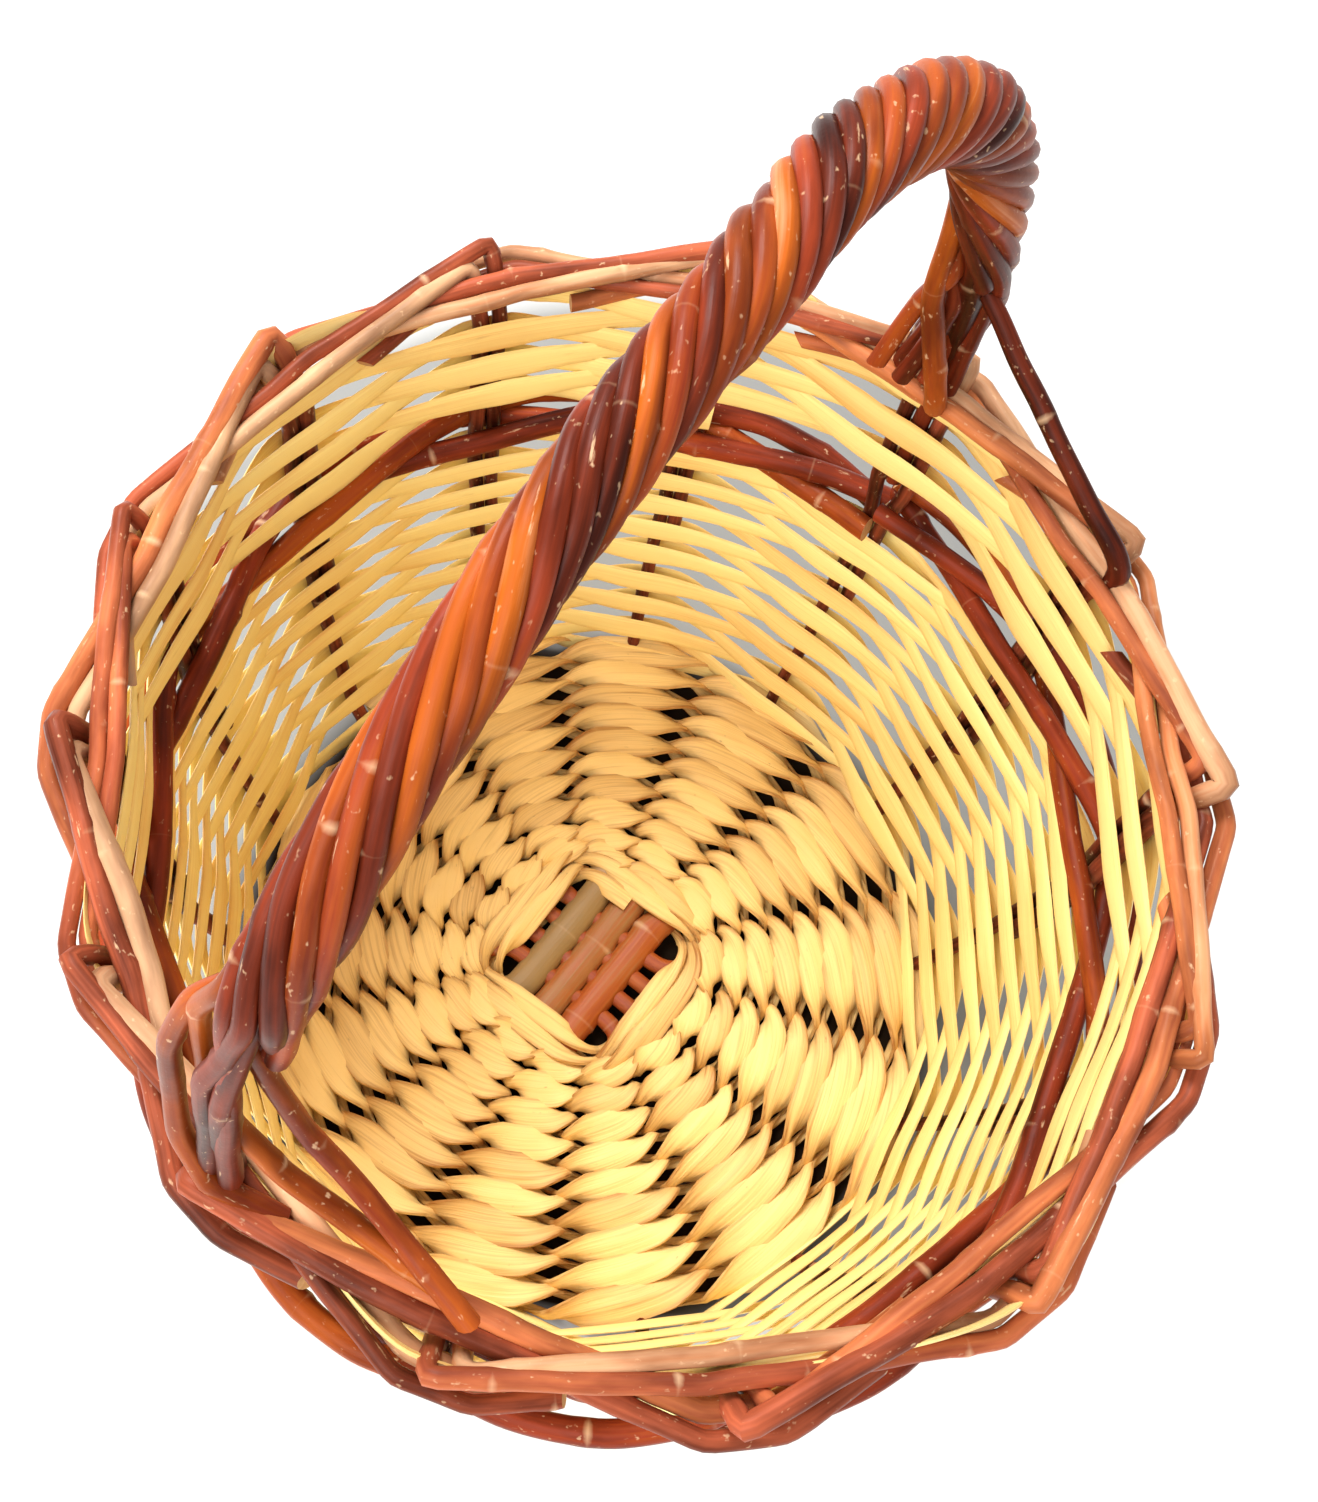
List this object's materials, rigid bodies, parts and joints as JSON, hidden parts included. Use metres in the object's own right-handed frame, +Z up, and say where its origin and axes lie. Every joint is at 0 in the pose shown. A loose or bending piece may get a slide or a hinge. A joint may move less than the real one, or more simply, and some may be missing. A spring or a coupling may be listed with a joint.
{
  "type": "willow basket",
  "caption": "Round woven basket of willow rods and split cane with a pierced stick base, a waled wall, a turned-down border and a bow handle wrapped like a rope.",
  "frame": {"origin": "middle of the basket's outline, on the surface that it stands on", "axes": "+Z up; +X towards the handle's foot that has the brace beside it; the handle's arch stands in the XZ plane"},
  "size_m": [0.3118, 0.3135, 0.3787],
  "materials": {
    "stick": "satin",
    "rush": "satin",
    "stake": "satin",
    "cane": "satin",
    "wale": "satin",
    "border": "satin",
    "bow": "satin",
    "wrap": "satin"
  },
  "bodies": {
    "root": {"pierced_stick_1": "stick", "pierced_stick_2": "stick", "pierced_stick_3": "stick", "threaded_stick_1": "stick", "threaded_stick_2": "stick", "threaded_stick_3": "stick", "threaded_stick_4": "stick", "base_weaver_1": "rush", "base_weaver_2": "rush", "stake_01": "stake", "stake_02": "stake", "stake_03": "stake", "stake_04": "stake", "stake_05": "stake", "stake_06": "stake", "stake_07": "stake", "stake_08": "stake", "stake_09": "stake", "stake_10": "stake", "stake_11": "stake", "stake_12": "stake", "stake_13": "stake", "stake_14": "stake", "handle_brace": "stake", "lower_cane_1": "cane", "lower_cane_2": "cane", "upper_cane_1": "cane", "upper_cane_2": "cane", "waling_rod_1": "wale", "waling_rod_2": "wale", "waling_rod_3": "wale", "by_stake_01": "border", "by_stake_02": "border", "by_stake_03": "border", "by_stake_04": "border", "by_stake_05": "border", "by_stake_06": "border", "by_stake_07": "border", "by_stake_08": "border", "by_stake_09": "border", "by_stake_10": "border", "by_stake_11": "border", "by_stake_12": "border", "by_stake_13": "border", "by_stake_14": "border", "handle_bow": "bow", "handle_wrap_1": "wrap", "handle_wrap_2": "wrap", "handle_wrap_3": "wrap", "handle_wrap_4": "wrap", "handle_wrap_5": "wrap", "handle_wrap_6": "wrap", "handle_wrap_7": "wrap", "handle_wrap_8": "wrap", "handle_wrap_9": "wrap"}
  },
  "joints": []
}
